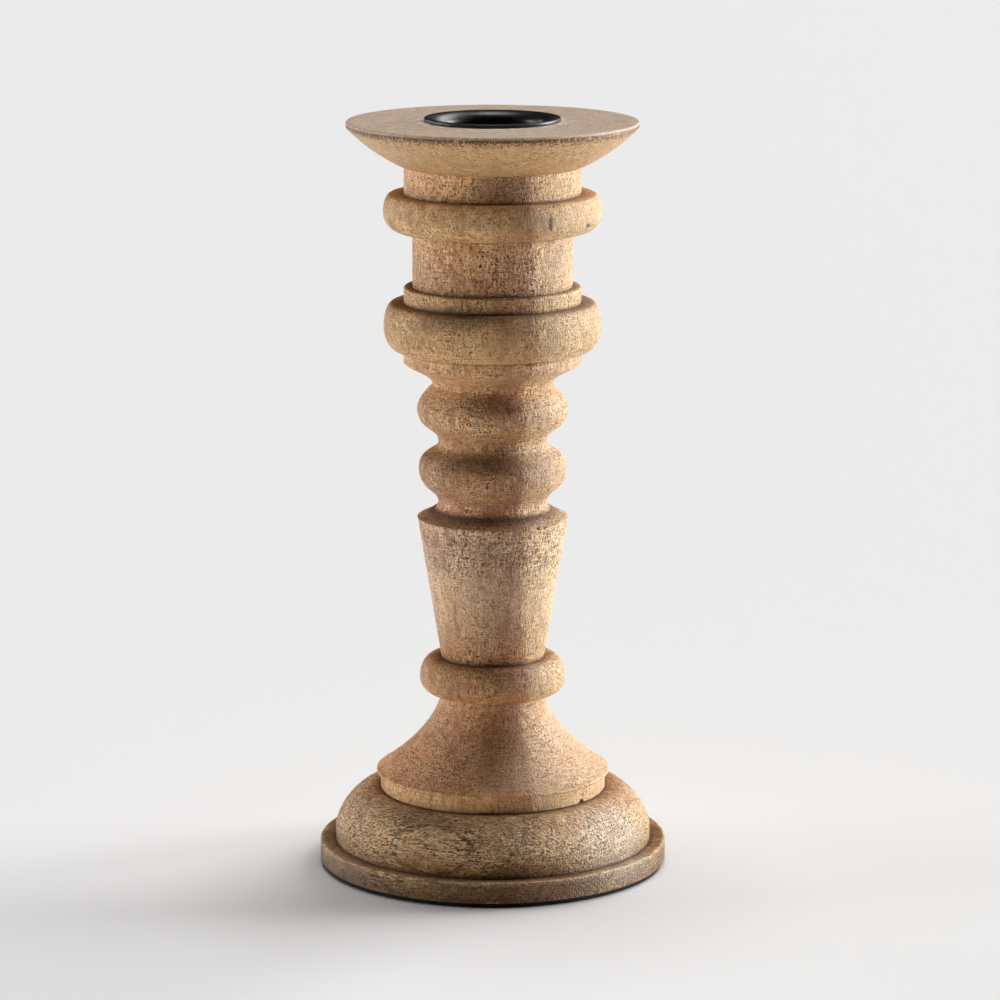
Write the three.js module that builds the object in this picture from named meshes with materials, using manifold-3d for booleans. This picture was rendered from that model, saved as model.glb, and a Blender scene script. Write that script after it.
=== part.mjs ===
// A turned wooden candlestick for one household taper candle, in millimetres, +Z up.
// The felt's underside is at Z = 0, and every piece is turned about the Z axis.
//
// From the floor up: a felt pad, a domed base with its grain lying flat, one long stem with its
// grain upright, a dished pan with its grain lying flat, and a black iron cup for the candle.
// A screw and washer hold the base to the stem, and a screw holds the cup down in the stem.

import * as THREE from 'three';
import { mergeVertices } from 'three/addons/utils/BufferGeometryUtils.js';
import Module from 'manifold-3d';

const wasm = await Module();
wasm.setup();

// ---- Driving dimensions -------------------------------------------------------------------

const facets = 36; // flats round each turned piece
const screwFacets = 20; // flats round a screw
const curveSteps = 3; // straight steps along each curved stretch of an outline
const glueGap = 0.3; // round and under a glued tenon, and round the cup
const screwGap = 0.3; // round a screw in its hole

const felt = { thickness: 0.9, inset: 0.5 };

const base = {
  radius: 38.1,
  height: 16.1,
  lipHeight: 4.6, // the upright edge of the foot
  lipRound: 0.4,
  ledge: 3.4, // the lip's flat, outside the dome
  domeWall: 2.4, // the dome's upright start
  domeFullness: 0.4, // 0.55 is a true quarter of an ellipse
  topMargin: 2.3, // the flat round the stem's foot
};

// The stem's turned shapes, from its foot to the pan. A quirk is the flat step where a bead
// meets the next shape, and a sweep's two numbers say how long it stays upright at each end.
const foot = { radius: 24.7, height: 3.2 };
const flareRoll = { radius: 25.6, below: 0.6, above: 0.5, inset: 0.5 };
const flare = { topRadius: 11.1, height: 17.1, lowHandle: [0.38, 0.22], highHandle: [0.88, 0.55] };
const waistRing = { lowQuirk: 1.8, radius: 16, below: 3.3, above: 4.7, highQuirk: 1.8 };
const taper = { lowRadius: 11.3, highRadius: 16.4, height: 31.2 };
const shoulder = { innerRadius: 13.2, rise: 1.6 };
const lowCove = { radius: 11.9, rise: 1.7 };
const lowBead = { radius: 16.1, below: 7.6, above: 5.8, lowSweep: [0.4, 0.66], highSweep: [0.7, 0.39] };
const midCove = { radius: 11.8 };
const midBead = { radius: 16.4, below: 7.2, above: 5.3, lowSweep: [0.46, 0.64], highSweep: [0.49, 0.02] };
const highCove = { radius: 13 };
const ogee = { radius: 19.3, height: 5, band: 2.7, sweep: [0.49, 0.15] };
const torus = { lowQuirk: 1.1, radius: 23.6, below: 5.1, above: 5.2, highQuirk: 2.4 };
const collar = { radius: 19.2, height: 3.5, round: 0.5 };
const drum = { radius: 17.3, height: 12.1 };
const topBead = { lowQuirk: 2.5, radius: 23.6, below: 4.1, above: 3.9, highQuirk: 2.8 };
const neck = { radius: 19.1, height: 6 };

const pan = {
  radius: 31.5,
  seatLap: 0.3, // how far its seat overhangs the stem's neck
  bowlHeight: 8.2, // the curved underside
  bowlHandles: [[0.32, 0.18], [0.75, 0.61]],
  edgeHeight: 1.4, // the upright rim above it
  edgeRound: 0.3,
};

const spigot = { wall: 2.7, height: 5 }; // the stem's top tenon, a ring round the cup's socket
const tenon = { radius: 9.7, height: 7.7 }; // the stem's foot tenon, in the base

const cup = {
  bore: 22.4,
  wall: 0.8,
  depth: 22.2, // from the flange's face to the cup's floor
  flangeReach: 2.7, // how far the flange stands out past the cup's wall
  flangeLand: 0.5, // what the flange lays on the pan
  mouthHeight: 2.2, // the flared part below the flange
  floorRound: 1,
  dimpleRadius: 4.2, // the dimple in the floor sinks the screw's head
};

const cupScrew = { radius: 1.6, length: 15, headRadius: 3.3, headHeight: 1.8 };
const baseScrew = { radius: 2.3, length: 32, headRadius: 4.5, headHeight: 2.6 };
const washer = { radius: 6, thickness: 0.8 };
const counterbore = { radius: 7, depth: 4 };
const pointLength = 4; // the sharpened end of a wood screw
const pilotSpare = 1.5; // how far a pilot hole runs past its screw
const recess = { width: 1, depth: 1.2 }; // each arm of the cross in a screw head

// ---- Heights worked out from them -----------------------------------------------------------

const baseTop = felt.thickness + base.height;
const stemHeights = [
  foot.height,
  flareRoll.below + flareRoll.above,
  flare.height,
  waistRing.below + waistRing.above,
  taper.height,
  shoulder.rise,
  lowCove.rise,
  lowBead.below + lowBead.above,
  midBead.below + midBead.above,
  ogee.height + ogee.band,
  torus.below + torus.above,
  collar.height,
  drum.height,
  topBead.below + topBead.above,
  neck.height,
];
const neckTop = baseTop + stemHeights.reduce((sum, height) => sum + height, 0);
const panTop = neckTop + pan.bowlHeight + pan.edgeHeight;
const cupFloor = panTop + cup.wall - cup.depth;
const cupRadius = cup.bore / 2 + cup.wall;
const socketRadius = cupRadius + glueGap;
const socketFloor = cupFloor - cup.wall - glueGap;
const dimpleDepth = cupScrew.headHeight;
const dimpleFloor = cupFloor - dimpleDepth;
const flangeRadius = cupRadius + cup.flangeReach;
const mouthRadius = flangeRadius - cup.flangeLand;
const spigotRadius = socketRadius + spigot.wall;
const mortise = { radius: tenon.radius + glueGap, depth: tenon.height + glueGap };
const headSeat = felt.thickness + counterbore.depth - washer.thickness;

// ---- Turning ----------------------------------------------------------------------------------

const roundness = 0.5523; // the handle length that makes a Bezier curve a quarter ellipse

/** Draws half the section of a turned piece, as radius and height, one stretch at a time. */
class Outline {
  constructor(radius, height) {
    this.path = new THREE.Path().moveTo(radius, height);
  }

  to(radius, height) {
    this.path.lineTo(radius, height);
    return this;
  }

  flat(radius) {
    return this.to(radius, this.path.currentPoint.y);
  }

  rise(height) {
    const { x, y } = this.path.currentPoint;
    return this.to(x, y + height);
  }

  cone(radius, rise) {
    return this.to(radius, this.path.currentPoint.y + rise);
  }

  /** A Bezier curve whose handles are shares of the way in radius and in height. */
  curve(radius, rise, [firstOut, firstUp], [lastOut, lastUp]) {
    const { x, y } = this.path.currentPoint;
    const out = radius - x;
    this.path.bezierCurveTo(
      x + firstOut * out,
      y + firstUp * rise,
      x + lastOut * out,
      y + lastUp * rise,
      radius,
      y + rise,
    );
    return this;
  }

  /** A quarter round that starts level and ends upright. */
  roundUp(radius, rise, fullness = roundness) {
    return this.curve(radius, rise, [fullness, 0], [1, 1 - fullness]);
  }

  /** A quarter round that starts upright and ends level. */
  roundOver(radius, rise, fullness = roundness) {
    return this.curve(radius, rise, [0, fullness], [1 - fullness, 1]);
  }

  /** An S curve that is upright at both ends, its handles shares of the rise. */
  sweep(radius, rise, [first, last]) {
    return this.curve(radius, rise, [0, first], [1, 1 - last]);
  }

  /** A bead with its quirks, from the last radius to the next one. */
  bead({ lowQuirk, radius, below, above, highQuirk }, nextRadius) {
    return this.flat(this.path.currentPoint.x + lowQuirk)
      .roundUp(radius, below)
      .roundOver(nextRadius + highQuirk, above)
      .flat(nextRadius);
  }
}

/** Joins an outline's ends and turns it about the Z axis. */
function turn({ path }, flats = facets) {
  path.autoClose = true;
  return new THREE.LatheGeometry(path.getPoints(curveSteps), flats).rotateX(Math.PI / 2);
}

function toSolid(geometry) {
  const shell = geometry.clone();
  shell.deleteAttribute('normal');
  shell.deleteAttribute('uv');
  const merged = mergeVertices(shell);
  const vertProperties = new Float32Array(merged.attributes.position.array);
  const triVerts = new Uint32Array(merged.index.array);
  return new wasm.Manifold(new wasm.Mesh({ numProp: 3, vertProperties, triVerts }));
}

function cut(geometry, ...tools) {
  const solid = tools.reduce((left, tool) => left.subtract(toSolid(tool)), toSolid(geometry));
  const { vertProperties, triVerts } = solid.getMesh();
  const result = new THREE.BufferGeometry();
  result.setAttribute('position', new THREE.BufferAttribute(vertProperties, 3));
  result.setIndex(new THREE.BufferAttribute(triVerts, 1));
  return result;
}

// ---- Materials ----------------------------------------------------------------------------------

function finish(color, roughness, metalness = 0) {
  return new THREE.MeshStandardMaterial({ color, roughness, metalness });
}

const baseWood = finish('#a38a6c', 0.6);
const stemWood = finish('#b98f63', 0.6);
const panWood = finish('#c3a888', 0.6);
const blackIron = finish('#17181a', 0.3);
const blackFelt = finish('#141312', 0.95);
const steel = finish('#b5b5b0', 0.35, 1);

// ---- Pieces ---------------------------------------------------------------------------------------

/** The pad is glued under the base, and covers the counterbore. */
function feltPad() {
  const radius = base.radius - felt.inset;
  return turn(new Outline(0, 0).flat(radius).rise(felt.thickness).flat(0));
}

/** The base: a lip, a ledge and a dome, with a mortise above and a counterbore below. */
function baseBlock() {
  const holeRadius = baseScrew.radius + screwGap;
  const domeCurve = base.height - base.lipHeight - base.domeWall;
  const outline = new Outline(counterbore.radius, felt.thickness)
    .flat(base.radius)
    .rise(base.lipHeight - base.lipRound)
    .roundOver(base.radius - base.lipRound, base.lipRound)
    .flat(base.radius - base.ledge)
    .rise(base.domeWall)
    .roundOver(foot.radius + base.topMargin, domeCurve, base.domeFullness)
    .flat(mortise.radius)
    .rise(-mortise.depth)
    .flat(holeRadius)
    .to(holeRadius, felt.thickness + counterbore.depth)
    .flat(counterbore.radius);
  return turn(outline);
}

/** The stem's outside, from the shoulder of its foot to the shoulder under the pan. */
function turnStem(outline) {
  return outline
    .flat(foot.radius)
    .rise(foot.height)
    .roundUp(flareRoll.radius, flareRoll.below)
    .cone(flareRoll.radius - flareRoll.inset, flareRoll.above)
    .curve(flare.topRadius, flare.height, flare.lowHandle, flare.highHandle)
    .bead(waistRing, taper.lowRadius)
    .cone(taper.highRadius, taper.height)
    .cone(shoulder.innerRadius, shoulder.rise)
    .roundUp(lowCove.radius, lowCove.rise)
    .sweep(lowBead.radius, lowBead.below, lowBead.lowSweep)
    .sweep(midCove.radius, lowBead.above, lowBead.highSweep)
    .sweep(midBead.radius, midBead.below, midBead.lowSweep)
    .sweep(highCove.radius, midBead.above, midBead.highSweep)
    .sweep(ogee.radius, ogee.height, ogee.sweep)
    .rise(ogee.band)
    .bead(torus, collar.radius)
    .rise(collar.height - collar.round)
    .roundOver(collar.radius - collar.round, collar.round)
    .flat(drum.radius)
    .rise(drum.height)
    .bead(topBead, neck.radius)
    .rise(neck.height);
}

/** The stem is one blank with a tenon at each end, the cup's socket and two pilot holes. */
function stemSpindle() {
  const footPilot = baseScrew.radius + screwGap;
  const footPilotTop = headSeat + baseScrew.length + pilotSpare;
  const cupPilot = cupScrew.radius + screwGap;
  const cupPilotFloor = dimpleFloor - cupScrew.length - pilotSpare;
  const outline = new Outline(footPilot, baseTop - tenon.height)
    .flat(tenon.radius)
    .rise(tenon.height);
  turnStem(outline)
    .flat(spigotRadius)
    .rise(spigot.height)
    .flat(socketRadius)
    .to(socketRadius, socketFloor)
    .flat(cup.dimpleRadius + cup.wall + glueGap)
    .rise(-dimpleDepth)
    .flat(cupPilot)
    .to(cupPilot, cupPilotFloor)
    .flat(0)
    .to(0, footPilotTop)
    .flat(footPilot);
  return turn(outline);
}

/** The pan: a shallow bowl under a flat top, recessed for the spigot and bored for the cup. */
function panDish() {
  const rimRadius = pan.radius - pan.edgeRound;
  const recessRadius = spigotRadius + glueGap;
  const outline = new Outline(recessRadius, neckTop)
    .flat(neck.radius + pan.seatLap)
    .curve(rimRadius, pan.bowlHeight, ...pan.bowlHandles)
    .cone(pan.radius, pan.edgeRound)
    .to(pan.radius, panTop - pan.edgeRound)
    .roundOver(rimRadius, pan.edgeRound)
    .flat(mouthRadius)
    .to(socketRadius, panTop - cup.mouthHeight - glueGap)
    .to(socketRadius, neckTop + spigot.height + glueGap)
    .flat(recessRadius);
  return turn(outline);
}

/** The cup is spun from sheet iron, with a flared mouth, a flange and a dimple for its screw. */
function candleCup() {
  const holeRadius = cupScrew.radius + screwGap;
  const boreRadius = cup.bore / 2;
  const outline = new Outline(holeRadius, dimpleFloor - cup.wall)
    .flat(cup.dimpleRadius + cup.wall)
    .rise(dimpleDepth)
    .flat(cupRadius - cup.floorRound)
    .roundUp(cupRadius, cup.floorRound)
    .to(cupRadius, panTop - cup.mouthHeight)
    .roundOver(mouthRadius - glueGap, cup.mouthHeight)
    .flat(flangeRadius)
    .rise(cup.wall)
    .flat(mouthRadius - glueGap)
    .roundUp(boreRadius, -cup.mouthHeight)
    .to(boreRadius, cupFloor)
    .flat(cup.dimpleRadius)
    .rise(-dimpleDepth)
    .flat(holeRadius);
  return turn(outline);
}

/** A pan-headed wood screw along Z, its head's underside at Z = 0 and its point at -length. */
function woodScrew({ radius, length, headRadius, headHeight }) {
  const armLength = headRadius;
  const outline = new Outline(0, -length)
    .cone(radius, pointLength)
    .to(radius, 0)
    .flat(headRadius)
    .rise(headHeight / 3)
    .roundOver(recess.width, (headHeight * 2) / 3)
    .flat(0);
  const armHeight = headHeight - recess.depth / 2;
  const arms = [0, Math.PI / 2].map((angle) =>
    new THREE.BoxGeometry(armLength, recess.width, recess.depth)
      .rotateZ(angle)
      .translate(0, 0, armHeight),
  );
  return cut(turn(outline, screwFacets), ...arms);
}

function flatWasher() {
  const holeRadius = baseScrew.radius + screwGap;
  const outline = new Outline(holeRadius, headSeat)
    .flat(washer.radius)
    .rise(washer.thickness)
    .flat(holeRadius);
  return turn(outline);
}

// ---- Assembly ---------------------------------------------------------------------------------------

const candlestick = new THREE.Group();

function add(name, geometry, material) {
  const piece = new THREE.Mesh(geometry, material);
  piece.name = name;
  candlestick.add(piece);
  return piece;
}

add('felt_pad', feltPad(), blackFelt);
add('base', baseBlock(), baseWood);
add('stem', stemSpindle(), stemWood);
add('pan', panDish(), panWood);
add('candle_cup', candleCup(), blackIron);
add('cup_screw', woodScrew(cupScrew), steel).position.z = dimpleFloor;
add('base_washer', flatWasher(), steel);

const footScrew = add('base_screw', woodScrew(baseScrew), steel);
footScrew.position.z = headSeat;
footScrew.rotation.x = Math.PI; // driven upwards from the counterbore

export default candlestick;
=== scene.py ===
"""A turned wooden candlestick with an iron cup for one taper candle, built up piece by piece
in the order it is put together, from the felt underfoot to the screw in the cup."""

import math
import random

import bpy
from mathutils import Matrix, Vector


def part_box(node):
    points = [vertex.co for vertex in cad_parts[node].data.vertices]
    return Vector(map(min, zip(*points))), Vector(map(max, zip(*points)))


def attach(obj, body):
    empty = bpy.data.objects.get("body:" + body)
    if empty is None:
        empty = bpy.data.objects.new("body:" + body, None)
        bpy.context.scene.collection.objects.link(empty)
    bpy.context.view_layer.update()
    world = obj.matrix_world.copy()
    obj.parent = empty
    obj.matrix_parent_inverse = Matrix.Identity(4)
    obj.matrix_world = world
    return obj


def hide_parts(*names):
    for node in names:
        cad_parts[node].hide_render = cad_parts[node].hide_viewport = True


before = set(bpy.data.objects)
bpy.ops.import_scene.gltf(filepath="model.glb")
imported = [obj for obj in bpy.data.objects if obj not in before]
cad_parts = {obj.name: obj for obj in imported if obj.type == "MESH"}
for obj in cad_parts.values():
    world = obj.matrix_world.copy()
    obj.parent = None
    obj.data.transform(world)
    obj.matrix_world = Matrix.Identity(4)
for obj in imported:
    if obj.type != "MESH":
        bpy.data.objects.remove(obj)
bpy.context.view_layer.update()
random.seed(7)


# ---- Felt pad ---------------------------------------------------------------------------------
# A thin disc of pressed black felt, glued under the base so that it doesn't scratch a table.
# It is punched from sheet, so its edge is square, and it is a little smaller than the base.

MM = 0.001
SPINS = 256


class Section:
    """Half the outline of a turned piece, in millimetres of radius and height. It is drawn by
    extruding one vertex stroke by stroke, and then spun about the Z axis."""

    ROUND = 0.5523  # the handle length that makes a Bezier curve a quarter ellipse
    RUN = 0.12  # how far the skew's point runs along each side of an inner corner
    BITE = 0.06  # how far it cuts in past the corner
    UPRIGHT_SHADE = 0.12  # how far the grime and painted shade reach up a wall, as a share of their reach on a ledge

    def __init__(self, name, radius, height):
        bpy.ops.object.select_all(action="DESELECT")
        bpy.ops.mesh.primitive_plane_add(size=MM)
        self.piece = bpy.context.object
        self.piece.name = self.piece.data.name = name
        bpy.ops.object.mode_set(mode="EDIT")
        bpy.ops.mesh.merge(type="CENTER")
        bpy.ops.transform.translate(value=(radius * MM, 0, height * MM))
        self.radius, self.height = radius, height
        self.creases, self.edges = [], []

    def to(self, radius, height):
        step = ((radius - self.radius) * MM, 0, (height - self.height) * MM)
        bpy.ops.mesh.extrude_region_move(TRANSFORM_OT_translate={"value": step})
        self.radius, self.height = radius, height
        return self

    def flat(self, radius):
        return self.to(radius, self.height)

    def cone(self, radius, rise, steps=1):
        start, foot = self.radius, self.height
        for step in range(1, steps + 1):
            share = step / steps
            self.to(start + share * (radius - start), foot + share * rise)
        return self

    def rise(self, height, steps=1):
        return self.cone(self.radius, height, steps)

    def curve(self, radius, rise, first, last, steps=12):
        """A Bezier curve whose two handles are shares of the way in radius and in height."""
        start, foot = self.radius, self.height
        for step in range(1, steps + 1):
            t = step / steps
            early, late = 3 * (1 - t) ** 2 * t, 3 * (1 - t) * t**2
            out, up = (early * a + late * b + t**3 for a, b in zip(first, last))
            self.to(start + out * (radius - start), foot + up * rise)
        return self

    def round_up(self, radius, rise, fullness=ROUND, steps=8):
        """A quarter round that starts level and ends upright."""
        return self.curve(radius, rise, (fullness, 0), (1, 1 - fullness), steps)

    def round_over(self, radius, rise, fullness=ROUND, steps=8):
        """A quarter round that starts upright and ends level."""
        return self.curve(radius, rise, (0, fullness), (1 - fullness, 1), steps)

    def sweep(self, radius, rise, sweep):
        """An S curve, upright at both ends for the two shares of its height in sweep."""
        return self.curve(radius, rise, (0, sweep[0]), (1, 1 - sweep[1]))

    def quirk(self, radius, height, dip, reach=1.0):
        """An inner corner, cut a little deeper than it has to be with the point of the skew, down
        or up by dip. Grime, old wax and painted shade darken the wood for about reach round it."""
        self.creases.append((radius, height, reach))
        if dip < 0:
            self.to(radius + self.RUN, height).to(radius - self.BITE, height + dip)
            return self.to(radius, height + self.RUN)
        self.to(radius, height - self.RUN).to(radius - self.BITE, height + dip)
        return self.to(radius + self.RUN, height)

    def bead(self, low_quirk, radius, below, above, high_quirk, next_radius, reach=1.0):
        """A bead between two flat quirks."""
        dip, low_reach = 0.25, 0.7
        self.quirk(self.radius, self.height, dip, low_reach)
        self.flat(self.radius + low_quirk - self.RUN)
        self.round_up(radius, below, steps=10).round_over(next_radius + high_quirk, above, steps=12)
        return self.quirk(next_radius, self.height, -dip, reach)

    def spin(self, steps=SPINS, sharp=35):
        """Turns the section into a solid, and leaves it smooth up to sharp degrees."""
        bpy.ops.mesh.select_all(action="SELECT")
        bpy.ops.mesh.spin(steps=steps, angle=math.tau, center=(0, 0, 0), axis=(0, 0, 1))
        bpy.ops.mesh.select_all(action="SELECT")
        bpy.ops.mesh.remove_doubles(threshold=MM / 1000)
        bpy.ops.mesh.normals_make_consistent(inside=False)
        bpy.ops.object.mode_set(mode="OBJECT")
        bpy.ops.object.shade_smooth_by_angle(angle=math.radians(sharp))
        self.paint_dirt_and_light()
        return self.piece

    def paint_dirt_and_light(self):
        """Writes how dark or light each point is painted: 1 in a crease, darkened by grime and
        painted shade, 0 in the open and -1 on an edge with a painted highlight.
        """
        dirt = self.piece.data.attributes.new("dirt", "FLOAT", "POINT")
        for vertex, point in zip(self.piece.data.vertices, dirt.data):
            out, up = math.hypot(vertex.co.x, vertex.co.y) / MM, vertex.co.z / MM
            # Faces that look up get the painted shade further from the crease, as if shadowed from
            # above.
            level = self.UPRIGHT_SHADE + (1 - self.UPRIGHT_SHADE) * max(vertex.normal.z, 0)
            near = [math.hypot(out - r, up - z) / reach / level for r, z, reach in self.creases]
            highlit = [math.hypot(out - r, up - z) / reach for r, z, reach in self.edges]
            light = max((math.exp(-share * share) for share in highlit), default=0)
            point.value = max((math.exp(-share * share) for share in near), default=0) - light


def bottom_of(node):
    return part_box(node)[0][2] / MM


def top_of(node):
    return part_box(node)[1][2] / MM


def width_of(node):
    low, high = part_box(node)
    return (high[0] - low[0]) / MM


felt_radius = width_of("felt_pad") / 2
felt_edge = 0.15
felt = Section("felt", 0, 0)
felt.flat(felt_radius - felt_edge).round_up(felt_radius, felt_edge, steps=3)
felt.to(felt_radius, top_of("felt_pad") - felt_edge)
felt.round_over(felt_radius - felt_edge, felt_edge, steps=3).flat(0)
felt = felt.spin()


class Value:
    """A shader socket that adds a Math node for each operator used on it."""

    def __init__(self, finish, socket):
        self.finish, self.socket = finish, socket

    def maths(self, operation, *values):
        sockets = dict(enumerate(values))
        return self.finish.add("Math", {"operation": operation}, sockets)

    def __add__(self, other):
        return self.maths("ADD", self, other)

    __radd__ = __add__

    def __mul__(self, other):
        return self.maths("MULTIPLY", self, other)

    __rmul__ = __mul__

    def __sub__(self, other):
        return self.maths("SUBTRACT", self, other)

    def __rsub__(self, other):
        return self.maths("SUBTRACT", other, self)

    def __truediv__(self, other):
        return self.maths("DIVIDE", self, other)

    def also(self, output):
        """Another output of the node that this one comes from."""
        return Value(self.finish, self.socket.node.outputs[output])

    def larger(self, other):
        return self.maths("MAXIMUM", self, other)

    def smaller(self, other):
        return self.maths("MINIMUM", self, other)

    def between(self, low, high):
        """0 at low and beyond, 1 at high and beyond, with a soft step from one to the other."""
        sockets = {"Value": self, "From Min": low, "From Max": high}
        return self.finish.add("MapRange", {"interpolation_type": "SMOOTHSTEP"}, sockets)


class Finish:
    """A material whose nodes are added one at a time, each by its type, settings and sockets."""

    def __init__(self, name):
        self.material = bpy.data.materials.new(name)
        self.material.use_nodes = True
        self.tree = self.material.node_tree
        self.tree.nodes.clear()

    def add(self, kind, settings=None, sockets=None, output=0):
        node = self.tree.nodes.new("ShaderNode" + kind)
        for name, setting in (settings or {}).items():
            if name == "stops":
                self.set_stops(node.color_ramp, setting)
            else:
                setattr(node, name, setting)
        for name, given in (sockets or {}).items():
            if isinstance(given, Value):
                self.tree.links.new(given.socket, node.inputs[name])
            else:
                node.inputs[name].default_value = given
        return Value(self, node.outputs[output]) if node.outputs else None

    @staticmethod
    def set_stops(ramp, stops):
        while len(ramp.elements) < len(stops):
            ramp.elements.new(1)
        for element, (place, colour) in zip(ramp.elements, stops):
            element.position, element.color = place, colour

    def place(self, turn=(0, 0, 0), shift=(0, 0, 0)):
        """The piece's own coordinates in millimetres, turned and then shifted."""
        at = self.add("TexCoord", output="Object")
        moves = {"Vector": at, "Scale": (1 / MM,) * 3, "Rotation": turn, "Location": shift}
        return self.add("Mapping", None, moves)

    def stretch(self, vector, scale):
        return self.add("VectorMath", {"operation": "MULTIPLY"}, {0: vector, 1: scale})

    def noise(self, vector, scale, detail=2, roughness=0.5, distortion=0):
        sockets = {
            "Vector": vector,
            "Scale": scale,
            "Detail": detail,
            "Roughness": roughness,
            "Distortion": distortion,
        }
        return self.add("TexNoise", None, sockets)

    def ramp(self, value, stops):
        return self.add("ValToRGB", {"stops": stops}, {"Fac": value})

    def blend(self, share, under, over, kind="MIX"):
        sockets = {0: share, 6: under, 7: over}
        return self.add("Mix", {"data_type": "RGBA", "blend_type": kind}, sockets, output=2)

    def bump(self, height, depth, strength=1.0):
        sockets = {"Height": height, "Distance": depth * MM, "Strength": strength}
        return self.add("Bump", None, sockets)

    def finish_with(self, **sockets):
        """Ends the material in a Principled shader with these sockets."""
        sockets = {name.replace("_", " "): value for name, value in sockets.items()}
        shader = self.add("BsdfPrincipled", None, sockets)
        self.add("OutputMaterial", None, {"Surface": shader})
        return self.material


def colour(code):
    """A colour written as six hexadecimal digits, as the linear light that a shader takes."""
    parts = [int(code[i : i + 2], 16) / 255 for i in (0, 2, 4)]
    return (*[p / 12.92 if p <= 0.04045 else ((p + 0.055) / 1.055) ** 2.4 for p in parts], 1)


def dress(piece, material, slot, *nodes):
    """Gives a finished piece its material and its place in the frame."""
    piece.data.materials.clear()
    piece.data.materials.append(material)
    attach(piece, "root")
    if nodes:
        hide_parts(*nodes)


def pressed_felt():
    fin = Finish("pressed black felt")
    at = fin.place()
    fibres = fin.noise(at, 2.2, detail=6, roughness=0.7)
    tufts = fin.noise(at, 0.5, detail=2)
    shade = fin.ramp(fibres * 0.7 + tufts * 0.3, [(0.3, colour("0b0a0a")), (0.75, colour("262322"))])
    return fin.finish_with(Base_Color=shade, Roughness=0.95, Normal=fin.bump(fibres, 0.15, 0.8))


dress(felt, pressed_felt(), "felt", "felt_pad")


# ---- Base -------------------------------------------------------------------------------------
# A disc of mango wood with its grain lying flat, turned to a lip, a ledge and a dome. The stem's
# foot tenon is glued into the mortise on top, and the screw comes up through the middle.

base_low = bottom_of("base")
base_top = top_of("base")
base_radius = width_of("base") / 2
lip_height, lip_round, low_edge = 4.6, 0.45, 0.2
ledge_width, ledge_fall = 3.4, 0.15
dome_wall, dome_fullness, flat_radius = 2.4, 0.4, 27
mortise_radius, mortise_depth = 10, 8
base_hole_radius, counterbore_radius, counterbore_depth = 2.6, 7, 4
foot_radius = 24.7
crease_reach, highlight_reach, highlight_inset = 1.3, 0.45, 0.1

base = Section("base_wood", counterbore_radius, base_low)
base.flat(base_radius - low_edge).cone(base_radius, low_edge)
base.rise(lip_height - lip_round - low_edge, steps=6)
base.round_over(base_radius - lip_round, lip_round, steps=4)
base.cone(base_radius - ledge_width + Section.RUN, -ledge_fall, steps=6)
base.quirk(base_radius - ledge_width, base.height, dip=-0.2, reach=crease_reach)
base.rise(dome_wall, steps=5)
base.round_over(flat_radius, base_top - base.height, dome_fullness, steps=24)
base.creases.append((foot_radius, base_top, crease_reach))
# A painted highlight along the top edge of the lip.
base.edges.append((base_radius - highlight_inset, base_low + lip_height, highlight_reach))
base.cone(foot_radius, 0, steps=6).cone(mortise_radius, 0, steps=3).rise(-mortise_depth)
base.flat(base_hole_radius).to(base_hole_radius, base_low + counterbore_depth)
base.flat(counterbore_radius).to(counterbore_radius, base_low)
base = base.spin()


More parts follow.
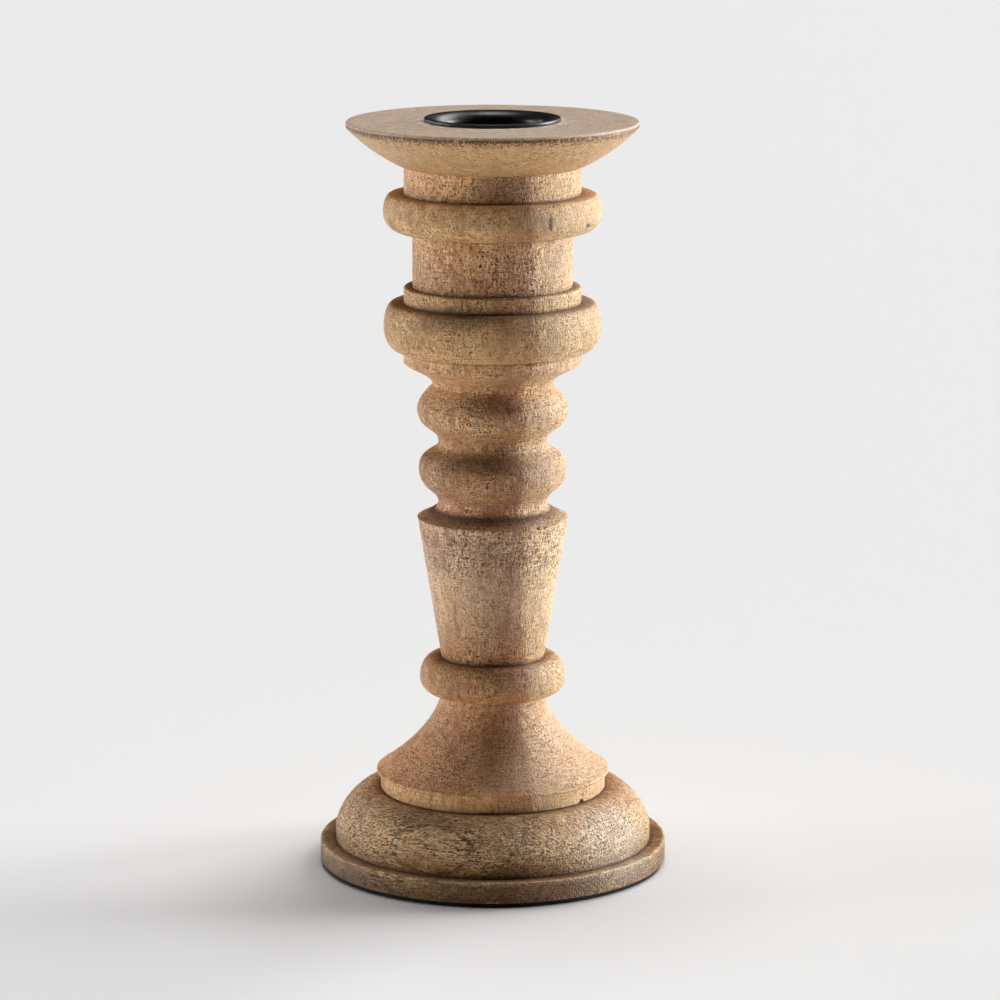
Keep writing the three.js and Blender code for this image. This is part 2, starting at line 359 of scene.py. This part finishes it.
class Wood(Finish):
    """Mango wood under a pale wax. Its grain runs along the Z axis of its own coordinates, in
    millimetres from the heart of the tree, before it is turned to lie along the piece's grain."""

    def __init__(self, name, grain, heart):
        super().__init__(name)
        shift = tuple(-(grain @ Vector(heart)))
        straight = self.place(turn=tuple(grain.to_euler("XYZ")), shift=shift)
        sway = self.add("TexNoise", None, {"Vector": straight, "Scale": 0.035}, output="Color")
        curl = self.add("TexNoise", None, {"Vector": straight, "Scale": 0.6}, output="Color")
        moved = self.add("VectorMath", {"operation": "SUBTRACT"}, {0: sway, 1: (0.5, 0.5, 0.5)})
        moved = self.stretch(moved, (7, 7, 0))
        curled = self.add("VectorMath", {"operation": "SUBTRACT"}, {0: curl, 1: (0.5, 0.5, 0.5)})
        curled = self.stretch(curled, (0.9, 0.9, 0))
        self.grain = self.plus(self.plus(straight, moved), curled)

    def plus(self, one, other):
        return self.add("VectorMath", {"operation": "ADD"}, {0: one, 1: other})

    def along(self, across, length):
        """The grain's coordinates, in cells of this width and length."""
        return self.stretch(self.grain, (1 / across, 1 / across, 1 / length))

    def pores(self, across, length, radius, crowd):
        """Open vessels, 1 inside and 0 outside: one at most to a cell, and fatter in a crowd."""
        near = self.add("TexVoronoi", None, {"Vector": self.along(across, length), "Scale": 1.0})
        chance = self.add("SeparateColor", None, {0: near.also("Color")})
        size = (chance * 0.7 + crowd * 0.6) * radius
        return ((size - near) / (radius * 0.4)).larger(0).smaller(1)

    def near(self, middle, reach):
        """1 at the middle of a soft spot and 0 at its reach, both in millimetres."""
        shares = tuple(1 / r for r in reach)
        offset = self.add("VectorMath", {"operation": "SUBTRACT"}, {0: self.place(), 1: middle})
        sockets = {0: self.stretch(offset, shares)}
        ragged = self.noise(self.along(1.2, 3.0), 1, detail=2) - 0.5
        away = self.add("VectorMath", {"operation": "LENGTH"}, sockets, output="Value")
        return 1 - away + ragged * 0.5

    def patched(self, body, middle, reach, tone, strength):
        """Wood with a soft patch of another colour: a real stain or small dark knot, and also
        painted shade and painted sheen where a patch stands in for light.
        """
        share = self.near(middle, reach).between(0, 0.7) * strength
        return self.blend(share, body, colour(tone))

    def figured(self, body, middle, reach):
        """Wood with the oval line of a growth ring that the surface only just cuts."""
        off = self.near(middle, reach)
        line = (off.larger(0 - off) * -14 + 1.2).between(0, 1)
        return self.blend(line * 0.62, body, colour("50301a"))

    def sapwood_with_light(self, body, ragged, start, pale, border):
        """Pale outer wood at start millimetres from the heart and beyond, and its brown border. The
        pale side lies where the right light falls, and its grey stands partly for a painted sheen;
        the brown border runs down the front where that light gives way, and is partly painted shade.
        """
        beyond = (ragged - start).between(-1.2, 1.2)
        within = (ragged - start).between(-14, 0) * (1 - beyond)
        body = self.blend(within * 0.48, body, colour(border))
        return self.blend(beyond * 0.5, body, colour(pale))

    def torn(self, body, height, level, length):
        """Wood with upright tears that start at this level and run down by up to this length."""
        columns = self.noise(self.stretch(self.place(), (2.6, 2.6, 0.3)), 1, detail=2)
        lowest = (columns - 0.62) * length + level
        above, below = (height - lowest).between(0, 0.25), level + 0.25 - height
        return self.blend(above * below.between(0, 0.15) * 0.8, body, colour("5e3c1c"))

    def bruised(self, body, radius, reach, tone):
        """Wood with small pale bruises just outside a ring of this radius round the Z axis."""
        flat = {0: self.stretch(self.place(), (1, 1, 0))}
        away = self.add("VectorMath", {"operation": "LENGTH"}, flat, output="Value") - radius
        flecks = self.noise(self.place(), 0.8, detail=3, roughness=0.7).between(0.5, 0.55)
        share = (1 - away / reach).between(0, 0.5) * flecks * 0.85
        return self.blend(share, body, colour(tone))

    def rings(self):
        """How far a point is from the heart of the tree, in millimetres."""
        flat = self.stretch(self.grain, (1, 1, 0))
        return self.add("VectorMath", {"operation": "LENGTH"}, {0: flat}, output="Value")

    def marks(self, fine, sideways):
        """The fine level lines that the tool and the sandpaper left as the piece turned."""
        at = self.place()
        parts = self.add("SeparateXYZ", None, {0: at})
        flat = self.stretch(at, (1, 1, 0))
        out = self.add("VectorMath", {"operation": "LENGTH"}, {0: flat}, output="Value")
        up = parts.also("Z")
        spread = {"X": out / fine, "Y": up / fine, "Z": parts * (1 / sideways)}
        across = self.add("CombineXYZ", None, spread)
        sockets = {"Vector": across, "W": parts.also("Y") * (1 / sideways), "Detail": 2}
        return self.add("TexNoise", {"noise_dimensions": "4D"}, {**sockets, "Scale": 1})


def lying(azimuth):
    """The turn that stands a level grain on end, for a grain this many degrees round from +X."""
    level = Matrix.Rotation(math.radians(-azimuth), 3, "Z")
    return Matrix.Rotation(math.radians(-90), 3, "Y") @ level


def mango(
    name,
    grain,
    heart,
    tones,
    ring_width,
    pore,
    depth,
    lines_depth,
    vessel=0.3,
    year_lines=0.2,
    drift=1.0,
    unevenness=4,
    sapwood_light_and_shade=None,
    stains_and_shade=(),
    ovals=(),
    torn=None,
    bruised=None,
):
    """The finish of one wooden piece, whose heart lies at this place in the tree's grain. tones
    are the heights, colours and speckiness that the wood drifts through up the piece. pore and
    vessel say how long and how open its pores are, year_lines how dark its rings, drift and
    unevenness how far its colour strays, and depth and lines_depth how deep its grain and its
    tool marks are. The rest are the marks that are this piece's own, but some patches in
    stains_and_shade are painted shade and painted sheen, sapwood_light_and_shade is partly
    painted light and shade, and the dirt attribute paints shade and a
    highlight as well as grime."""
    wood = Wood(name, grain, heart)
    out = wood.rings()
    year = wood.add("CombineXYZ", None, {"X": out / ring_width})
    years = wood.noise(year, 1, detail=3, roughness=0.6)
    patches = wood.noise(wood.along(6, 14), 1, detail=2)
    clouds = wood.noise(wood.along(1.6, 3.0), 1, detail=4, roughness=0.68)
    crowd = (clouds * 0.45 + patches * 0.55).between(0.4, 0.6)
    dots = wood.noise(wood.along(0.3, 0.3 * pore), 1, detail=2, roughness=0.65)
    strands = wood.along(0.45, 0.8 * pore * pore)
    strokes = wood.noise(strands, 1, detail=3, roughness=0.62, distortion=0.4)
    vessels = wood.pores(0.55, 0.66 * pore * pore, vessel, crowd)
    lines = wood.marks(0.16, 2.6)
    dirt = wood.add("Attribute", {"attribute_name": "dirt"}, output="Fac")

    low, high = tones[0][0], tones[-1][0]
    height = wood.add("SeparateXYZ", None, {0: wood.place()}).also("Z")
    strayed = height + (patches - 0.5) * unevenness
    stops = [((z - low) / (high - low), (*colour(tone)[:3], much)) for z, tone, much in tones]
    body = wood.ramp((strayed - low) / (high - low), stops)
    speck = body.also("Alpha") * (0.55 + crowd * 0.75)
    mood = (years * 0.3 + patches * 0.35 + clouds * 0.35 - 0.5) * drift
    body = wood.blend((0 - mood).larger(0) * 4.5, body, colour("8a5230"))
    body = wood.blend(mood.larger(0) * 2.8, body, colour("e6c08a"))
    year_end = wood.add("Math", {"operation": "FRACT"}, {0: out / ring_width}).between(0.93, 0.99)
    body = wood.blend(year_end * year_lines, body, colour("6a4322"))
    if sapwood_light_and_shade:
        body = wood.sapwood_with_light(body, out + (strokes - 0.5) * 6, *sapwood_light_and_shade)
    for patch in stains_and_shade:
        body = wood.patched(body, *patch)
    for oval in ovals:
        body = wood.figured(body, *oval)
    if torn:
        body = wood.torn(body, height, *torn)
    if bruised:
        body = wood.bruised(body, *bruised)
    # Painted shade and grime in the creases, darkest on faces that look up.
    body = wood.blend(dirt.larger(0) * 0.75, body, colour("4a2a16"))
    # A painted highlight, lighter colour along the base's lip edge.
    body = wood.blend((0 - dirt).larger(0) * 0.55, body, colour("f2d2a0"))
    grit = (strokes - 0.5) * 1.7 + (lines - 0.5) * 1.5 + (dots - 0.5) * 2.0
    grit = (grit.smaller(0) * 1.35 + grit.larger(0) * 0.6 + 0.03) * speck + (clouds - 0.5) * 0.7
    shares = {i: (grit * k + 1).larger(0.12) for i, k in enumerate((1.0, 1.25, 1.6))}
    shade = wood.add("CombineColor", None, shares)
    body = wood.blend(1.0, body, shade, "MULTIPLY")
    dark = ((0.43 - dots) * 9 * speck).larger(0).smaller(0.52)
    dark = dark.larger(vessels * 0.6)
    body = wood.blend(dark, body, colour("57310f"))
    relief = dots * 0.4 + strokes * 1.2 - vessels * 0.5 + (lines - 0.5) * lines_depth
    return wood.finish_with(
        Base_Color=body,
        Roughness=0.43 + dark * 0.3 + dirt.larger(0) * 0.3,
        Normal=wood.bump(relief, depth, 1.0),
    )


base_finish = mango(
    "base mango wood",
    lying(-26),
    (4.6, 9.5, -24.2),
    [
        (1, "7c5a38", 1.2),
        (5, "8f6a3e", 1.1),
        (6.2, "b4844a", 1.3),
        (9, "d8ac76", 1.7),
        (13, "e8bc88", 1.8),
        (17, "cca070", 1.5),
    ],
    ring_width=6.5,
    pore=2.6,
    depth=0.36,
    lines_depth=0.4,
    vessel=0.42,
    year_lines=0.6,
    stains_and_shade=[
        ((-16, -34, 2.5), (7, 6, 2.5), "a8843c", 0.5),
        ((6, -33, 7.5), (12, 6, 3), "50341c", 0.35),
        # Painted sheen and light on the dome's right and left sides, where the side lights fall.
        ((27, -22, 10), (15, 18, 12), "dccbb0", 0.6),
        ((-33, -16, 9), (12, 16, 10), "d8b080", 0.4),
        ((-16, -24, 16), (9, 8, 3), "5c3a20", 0.4),
    ],
    ovals=[((-14, -32, 11), (9.5, 9, 5))],
)
dress(base, base_finish, "base_wood", "base")


# ---- Base screw and washer --------------------------------------------------------------------
# A zinc-plated wood screw, driven up through a washer in the base's counterbore and into the
# stem's foot. The felt hides both.


def zinc_plate():
    fin = Finish("zinc plate")
    at = fin.place()
    clouds = fin.noise(at, 0.6, detail=4, roughness=0.6)
    lines = fin.noise(fin.stretch(at, (0.2, 0.2, 9)), 1, detail=2)
    shade = fin.ramp(clouds, [(0.3, colour("8f9092")), (0.7, colour("c6c5c0"))])
    return fin.finish_with(
        Base_Color=shade,
        Metallic=1.0,
        Roughness=0.25 + clouds * 0.25,
        Normal=fin.bump(lines, 0.02, 0.5),
    )


zinc = zinc_plate()
for node in ("base_screw", "base_washer"):
    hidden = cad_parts[node]
    hidden.data.materials.clear()
    hidden.data.materials.append(zinc)


# ---- Stem -------------------------------------------------------------------------------------
# One long blank of mango wood with its grain upright, turned between centres: a flared foot,
# a ring, a tapered shaft, beads and coves, a torus, a drum and a neck. It is tenoned at both ends.

foot_height, foot_edge = 3.2, 0.15
roll_radius, roll_below, roll_above, roll_inset = 25.6, 0.6, 0.5, 0.5
flare = {"radius": 11.1, "rise": 17.1, "first": (0.38, 0.22), "last": (0.88, 0.55)}
waist_ring = {"low_quirk": 1.8, "radius": 16, "below": 3.3, "above": 4.7, "high_quirk": 1.8}
taper_low_radius, taper_high_radius, taper_height = 11.3, 16.4, 31.2
shoulder_radius, shoulder_rise = 13.2, 1.6
cove_radius, cove_rise = 11.9, 1.7
low_bead = {"radius": 16.1, "rise": 7.6, "sweep": (0.4, 0.66)}
mid_cove = {"radius": 11.8, "rise": 5.8, "sweep": (0.7, 0.39)}
mid_bead = {"radius": 16.4, "rise": 7.2, "sweep": (0.46, 0.64)}
high_cove = {"radius": 13, "rise": 5.3, "sweep": (0.49, 0.02)}
ogee = {"radius": 19.3, "rise": 5, "sweep": (0.49, 0.15)}
ogee_band = 2.7
torus = {"low_quirk": 1.1, "radius": 23.6, "below": 5.1, "above": 5.2, "high_quirk": 2.4}
collar_radius, collar_height, collar_round = 19.2, 3.5, 0.5
drum_radius, drum_height = 17.3, 12.1
top_bead = {"low_quirk": 2.5, "radius": 23.6, "below": 4.1, "above": 3.9, "high_quirk": 2.8}
neck_radius = 19.1
tenon_radius, tenon_height = 9.7, 7.7
spigot_radius, spigot_height = 15, 5
dimple_below = 1.5  # how far the cup's dimple reaches below the socket's floor
socket_radius, socket_floor = 12.3, bottom_of("candle_cup") + dimple_below

stem = Section("stem_wood", 0, base_top - tenon_height)
stem.flat(tenon_radius).rise(tenon_height).cone(foot_radius - foot_edge, 0, steps=4)
stem.cone(foot_radius, foot_edge).rise(foot_height - foot_edge, steps=8)
stem.round_up(roll_radius, roll_below, steps=4)
stem.round_over(roll_radius - roll_inset, roll_above, steps=4)
stem.curve(**flare, steps=34)
stem.bead(**waist_ring, next_radius=taper_low_radius, reach=1.6)
stem.cone(taper_high_radius, taper_height - Section.RUN, steps=36)
shoulder_height = stem.height
stem.quirk(shoulder_radius, stem.height + shoulder_rise, dip=0, reach=1.7)
stem.round_up(cove_radius, cove_rise)
for shape in (low_bead, mid_cove, mid_bead, high_cove, ogee):
    stem.sweep(**shape)
stem.rise(ogee_band, steps=4)
stem.bead(**torus, next_radius=collar_radius, reach=3.6)
stem.rise(collar_height - collar_round - Section.RUN, steps=8)
stem.round_over(collar_radius - collar_round, collar_round, steps=4)
stem.quirk(drum_radius, stem.height, dip=-0.25, reach=1.2)
stem.rise(drum_height - Section.RUN, steps=14)
stem.bead(**top_bead, next_radius=neck_radius, reach=2.2)
stem.rise(bottom_of("pan") - stem.height, steps=12)
stem.flat(spigot_radius).rise(spigot_height).flat(socket_radius)
stem.to(socket_radius, socket_floor).flat(0)
stem = stem.spin()


def chip(piece, spots):
    """Breaks small splinters away. A spot is an azimuth, a radius, a height and a size."""
    bpy.ops.object.select_all(action="DESELECT")
    cutters = []
    for azimuth, radius, height, size in spots:
        turn = math.radians(azimuth)
        place = (radius * math.cos(turn) * MM, radius * math.sin(turn) * MM, height * MM)
        tilt = (random.uniform(-0.5, 0.5), random.uniform(-0.5, 0.5), random.uniform(0, math.tau))
        bpy.ops.mesh.primitive_ico_sphere_add(
            subdivisions=1, radius=size * MM, location=place, rotation=tilt
        )
        cutters.append(bpy.context.object)
    for cutter in cutters:
        cutter.select_set(True)
    bpy.ops.object.join()
    cutter = bpy.context.object
    bpy.context.view_layer.objects.active = piece
    bpy.ops.object.modifier_add(type="BOOLEAN")
    cut = piece.modifiers[-1]
    cut.operation, cut.solver, cut.object = "DIFFERENCE", "EXACT", cutter
    bpy.ops.object.modifier_apply(modifier=cut.name)
    bpy.data.objects.remove(cutter)


proud = 0.05
shoulder_nicks = []
for nick in range(15):
    turned = -150 + 7.5 * nick + random.uniform(-1.2, 1.2)
    size = random.uniform(0.3, 0.65)
    shoulder_nicks.append((turned, taper_high_radius + proud, shoulder_height - proud, size))
foot_chip = (-38.6, foot_radius + 0.2, base_top, 1.1)

stem_tones = [
    (17, "ffcc88", 0.5),
    (20.5, "ffc484", 0.6),
    (22, "ecae7a", 1.0),
    (32, "eeb078", 1.1),
    (43, "dca064", 1.0),
    (49, "daa068", 1.2),
    (58, "f2c69a", 0.7),
    (66, "f2c89e", 0.8),
    (69, "e0b48e", 1.9),
    (75, "eec29a", 1.8),
    (77.4, "eebc8e", 1.2),
    (80, "e8b084", 1.2),
    (88, "c69260", 1.4),
    (101, "e0ad75", 1.4),
    (110, "e9b57f", 1.2),
    (119, "e2b276", 0.9),
    (127, "ecb87a", 1.1),
    (130, "dea672", 1.6),
    (138, "e2ad76", 1.5),
    (144, "e4b478", 0.6),
    (154, "f0b880", 1.2),
]
stem_finish = mango(
    "stem mango wood",
    Matrix.Identity(3),
    (-59, -38, 0),
    stem_tones,
    ring_width=7,
    pore=1.6,
    depth=0.24,
    lines_depth=0.7,
    # Pale outer wood on the lit right side, partly a painted sheen, and its border, partly painted
    # shade.
    sapwood_light_and_shade=(71, "dcc096", "84482a"),
    stains_and_shade=[
        # Painted shade: the front of the neck under the pan and of the top bead.
        ((2, -18, 152), (10, 6, 5), "5e3620", 0.45),
        ((7, -19, 145), (7, 6, 3), "6a4630", 0.45),
        # Painted shade on the front of the torus's top.
        ((-7, -19, 124), (12, 9, 3.5), "46280f", 0.5),
        ((12.3, -19.5, 144.6), (0.7, 4, 2.4), "3a220f", 0.9),
        ((20.3, -11, 143), (0.7, 3, 0.8), "4a2c14", 0.9),
        # Painted shade on the front of the two coves, the shoulder and the taper's top.
        ((-3, -14, 91.5), (12, 7, 3), "40240f", 0.4),
        ((-1, -14, 104.5), (8, 7, 3), "40240f", 0.35),
        ((-6, -14, 79), (9, 8, 2), "3e2010", 0.15),
        ((-3, -12, 74), (14, 8, 5), "8c6a58", 0.3),
        ((8, -10, 37), (1.0, 3, 0.9), "4a2814", 0.8),
        ((9, -20, 25), (11, 9, 6), "f2ca9a", 0.4),
    ],
)
chip(stem, [*shoulder_nicks, foot_chip])
dress(stem, stem_finish, "stem_wood", "stem")


# ---- Pan --------------------------------------------------------------------------------------
# A disc of paler mango wood with its grain lying flat, turned like a bowl underneath and flat on
# top. Its rim is cut across the grain, which tore in short upright nicks just under the edge.

pan_low, pan_top = bottom_of("pan"), top_of("pan")
pan_radius = width_of("pan") / 2
bowl_height, edge_round = 8.2, 0.3
seat_lap = 0.3
recess_radius, recess_height = 15.3, 5.3
mouth_radius, mouth_depth = 14.2, 2.5

pan = Section("pan_wood", recess_radius, pan_low)
pan.flat(neck_radius + seat_lap)
pan.curve(pan_radius - edge_round, bowl_height, (0.32, 0.18), (0.75, 0.61), steps=24)
pan.cone(pan_radius, edge_round)
pan.to(pan_radius, pan_top - edge_round)
pan.round_over(pan_radius - edge_round, edge_round, steps=4)
pan.cone(mouth_radius, 0, steps=10)
pan.to(socket_radius, pan_top - mouth_depth).to(socket_radius, pan_low + recess_height)
pan.flat(recess_radius).to(recess_radius, pan_low)
pan = pan.spin()

pan_finish = mango(
    "pan mango wood",
    lying(12),
    (15, 60, 0),
    [(154, "d8ac78", 0.5), (161.5, "dcb280", 0.5), (163.2, "cca070", 0.7), (164, "ccb6a0", 0.3)],
    ring_width=6,
    pore=2.2,
    depth=0.15,
    lines_depth=0.5,
    torn=(163.3, 7),
    drift=0.3,
    unevenness=0.6,
    year_lines=0.05,
    bruised=(width_of("candle_cup") / 2, 2.8, "f6ecd8"),
)
dress(pan, pan_finish, "pan_wood", "pan")


# ---- Candle cup -------------------------------------------------------------------------------
# A cup spun from thin sheet iron and enamelled black, with a flange that lies on the pan and a
# flared mouth. Its floor is dimpled for the screw.

cup_low = bottom_of("candle_cup")
cup_top = top_of("candle_cup")
flange_radius = width_of("candle_cup") / 2
wall, bore_radius = 0.8, 11.2
dimple_radius, dimple_depth, screw_hole_radius = 4.2, 1.8, 1.9
floor_round, mouth_height, flange_mouth_radius = 1, 2.2, 13.9
flange_edge = 0.25

cup = Section("cup", screw_hole_radius, cup_low)
cup.flat(dimple_radius + wall).rise(dimple_depth)
cup.flat(bore_radius + wall - floor_round).round_up(bore_radius + wall, floor_round)
cup.to(bore_radius + wall, pan_top - mouth_height)
cup.round_over(flange_mouth_radius, mouth_height)
cup.flat(flange_radius - flange_edge).round_up(flange_radius, flange_edge, steps=4)
cup.to(flange_radius, cup_top - flange_edge)
cup.round_over(flange_radius - flange_edge, flange_edge, steps=4)
cup.flat(flange_mouth_radius).round_up(bore_radius, -mouth_height)
cup.to(bore_radius, cup_low + dimple_depth + wall + floor_round / 2)
cup.round_over(bore_radius - floor_round / 2, -floor_round / 2, steps=4)
cup.flat(dimple_radius).rise(-dimple_depth).flat(screw_hole_radius)
cup.to(screw_hole_radius, cup_low)
cup = cup.spin()


def black_enamel():
    fin = Finish("black enamel on iron")
    at = fin.place()
    orange_peel = fin.noise(at, 1.1, detail=3, roughness=0.55)
    rubs = fin.noise(at, 0.35, detail=5, roughness=0.65)
    shade = fin.ramp(rubs, [(0.35, colour("0e0f11")), (0.75, colour("26282b"))])
    return fin.finish_with(
        Base_Color=shade,
        Roughness=0.22 + rubs * 0.3,
        Normal=fin.bump(orange_peel, 0.04, 0.6),
    )


dress(cup, black_enamel(), "black_iron", "candle_cup")


# ---- Cup screw --------------------------------------------------------------------------------
# A small zinc-plated wood screw with a rounded head, driven down through the dimple in the cup's
# floor and into the stem.

screw_low, screw_top = bottom_of("cup_screw"), top_of("cup_screw")
head_radius = width_of("cup_screw") / 2
head_height, head_flat, shank_radius, point_length = 1.8, 1, 1.6, 4
screw_seat = screw_top - head_height

screw = Section("cup_screw_head", 0, screw_low)
screw.cone(shank_radius, point_length).to(shank_radius, screw_seat).flat(head_radius)
screw.rise(head_height / 3).round_over(head_flat, head_height * 2 / 3, steps=8).flat(0)
screw = screw.spin(steps=48)
dress(screw, zinc, "screw_steel", "cup_screw")


# ---- Floor, lights and camera -----------------------------------------------------------------
# A pale plain floor, broad soft lights low and high on the right, weaker ones on the left and
# overhead, and a camera somewhat above the candlestick that looks gently down on it.

bpy.ops.object.select_all(action="DESELECT")
bpy.ops.mesh.primitive_plane_add(size=12)
floor = bpy.context.object
floor.name = "floor"
fin = Finish("pale floor")
floor.data.materials.append(fin.finish_with(Base_Color=colour("ececec"), Roughness=0.9))

scene = bpy.context.scene
scene.view_settings.view_transform = "Standard"
world = bpy.data.worlds.new("studio")
scene.world = world
world.use_nodes = True
background = world.node_tree.nodes["Background"]
background.inputs["Color"].default_value = (1, 1, 1, 1)
background.inputs["Strength"].default_value = 0.0


def soft_light(name, azimuth, elevation, softness, power):
    """A broad far light, at an azimuth from +X and an elevation, in degrees."""
    turned, raised = math.radians(azimuth), math.radians(elevation)
    flat = math.cos(raised)
    way = Vector((math.cos(turned) * flat, math.sin(turned) * flat, math.sin(raised)))
    bpy.ops.object.light_add(type="SUN", rotation=way.to_track_quat("Z", "Y").to_euler())
    lamp = bpy.context.object
    lamp.name = name
    lamp.data.angle = math.radians(softness)
    lamp.data.energy = power


soft_light("right light", 16, 4, 24, 4.75)
soft_light("high right light", 44, 31, 44, 2.2)
soft_light("left light", 174, 4, 26, 1.65)
soft_light("back left light", 140, 5, 26, 0.5)
soft_light("top light", 90, 80, 30, 1.35)

camera_distance, camera_height, camera_side = 0.9294, 0.27096, 0.0016
camera_tilt = 11.547
lens, sensor = 156.6, 36
bpy.ops.object.camera_add(
    location=(camera_side, -camera_distance, camera_height),
    rotation=(math.radians(90 - camera_tilt), 0, 0),
)
camera = bpy.context.object
camera.data.lens, camera.data.sensor_width = lens, sensor
camera.data.clip_start, camera.data.clip_end = 0.01, 50
scene.camera = camera
